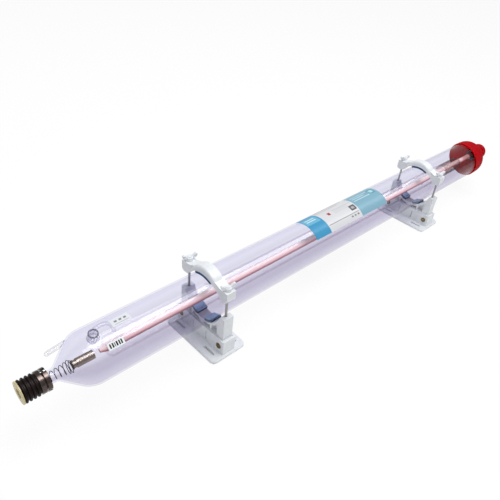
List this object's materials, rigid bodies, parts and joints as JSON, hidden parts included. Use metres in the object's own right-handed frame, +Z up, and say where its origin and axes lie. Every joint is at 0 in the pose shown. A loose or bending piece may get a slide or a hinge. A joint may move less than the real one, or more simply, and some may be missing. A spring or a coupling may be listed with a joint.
{
  "type": "co2 laser tube",
  "caption": "Sealed glass gas laser tube with water-cooled core, output head and rubber end cap, held in plastic clamp brackets with slotted feet.",
  "frame": {"origin": "under the middle of the tube's length, on the plane that both bracket bases stand on", "axes": "+X along the tube from the output head to the capped high voltage end, +Z up, +Y across the tube"},
  "size_m": [1.22, 0.124, 0.1415],
  "materials": {
    "envelope_glass": "clear borosilicate with a faint lavender cast",
    "clear_glass": "clear borosilicate, fire-polished ends",
    "discharge_glass": "clear glass with a pink glow along it",
    "nickel": "bright rolled sheet and wire",
    "mount_metal": "polished",
    "steel": "satin",
    "dark_steel": "blackened",
    "black_metal": "black, satin",
    "tan_metal": "pale gold, satin",
    "window_crystal": "polished amber crystal",
    "mirror_face": "polished",
    "red_rubber": "soft gloss",
    "blue_rubber": "matte",
    "white_plastic": "moulded, satin",
    "brass": "turned",
    "label": "printed film"
  },
  "bodies": {
    "root": {"gas_envelope": "envelope_glass", "gas_fill_stub": "clear_glass", "water_jacket": "clear_glass", "discharge_tube": "discharge_glass", "gas_return_coil": "clear_glass", "front_water_port": "clear_glass", "front_water_pipe": "clear_glass", "rear_water_port": "clear_glass", "rear_water_pipe": "clear_glass", "cathode": "nickel", "cathode_spring": "nickel", "anode": "nickel", "output_mount": "mount_metal", "output_adjusting_screws": "steel", "output_cooler": "black_metal", "output_window": "window_crystal", "output_ring": "tan_metal", "rear_mirror_mount": "mount_metal", "rear_adjusting_screws": "steel", "rear_mirror": "mirror_face", "rear_mirror_ring": "black_metal", "end_cap": "red_rubber", "main_label": "label", "code_label": "label", "small_label": "label", "front_base": "white_plastic", "front_cradle": "white_plastic", "front_cradle_pads": "blue_rubber", "front_clamp": "white_plastic", "front_clamp_pad": "blue_rubber", "front_lock_inserts": "brass", "front_lock_screws": "dark_steel", "front_clamp_inserts": "brass", "rear_base": "white_plastic", "rear_cradle": "white_plastic", "rear_cradle_pads": "blue_rubber", "rear_clamp": "white_plastic", "rear_clamp_pad": "blue_rubber", "rear_lock_inserts": "brass", "rear_lock_screws": "dark_steel", "rear_clamp_inserts": "brass"},
    "front_near_clamp_screw": {"front_near_screw": "steel", "front_near_wing": "white_plastic"},
    "front_far_clamp_screw": {"front_far_screw": "steel", "front_far_wing": "white_plastic"},
    "rear_near_clamp_screw": {"rear_near_screw": "steel", "rear_near_wing": "white_plastic"},
    "rear_far_clamp_screw": {"rear_far_screw": "steel", "rear_far_wing": "white_plastic"}
  },
  "joints": [
    {"name": "front_near_clamp_screw_turn", "type": "hinge", "parent": "root", "child": "front_near_clamp_screw", "pos_m": [-0.313, -0.0453, 0.096], "axis": [0, 0, 1], "continuous": true},
    {"name": "front_far_clamp_screw_turn", "type": "hinge", "parent": "root", "child": "front_far_clamp_screw", "pos_m": [-0.313, 0.0453, 0.096], "axis": [0, 0, 1], "continuous": true},
    {"name": "rear_near_clamp_screw_turn", "type": "hinge", "parent": "root", "child": "rear_near_clamp_screw", "pos_m": [0.301, -0.0453, 0.096], "axis": [0, 0, 1], "continuous": true},
    {"name": "rear_far_clamp_screw_turn", "type": "hinge", "parent": "root", "child": "rear_far_clamp_screw", "pos_m": [0.301, 0.0453, 0.096], "axis": [0, 0, 1], "continuous": true}
  ]
}
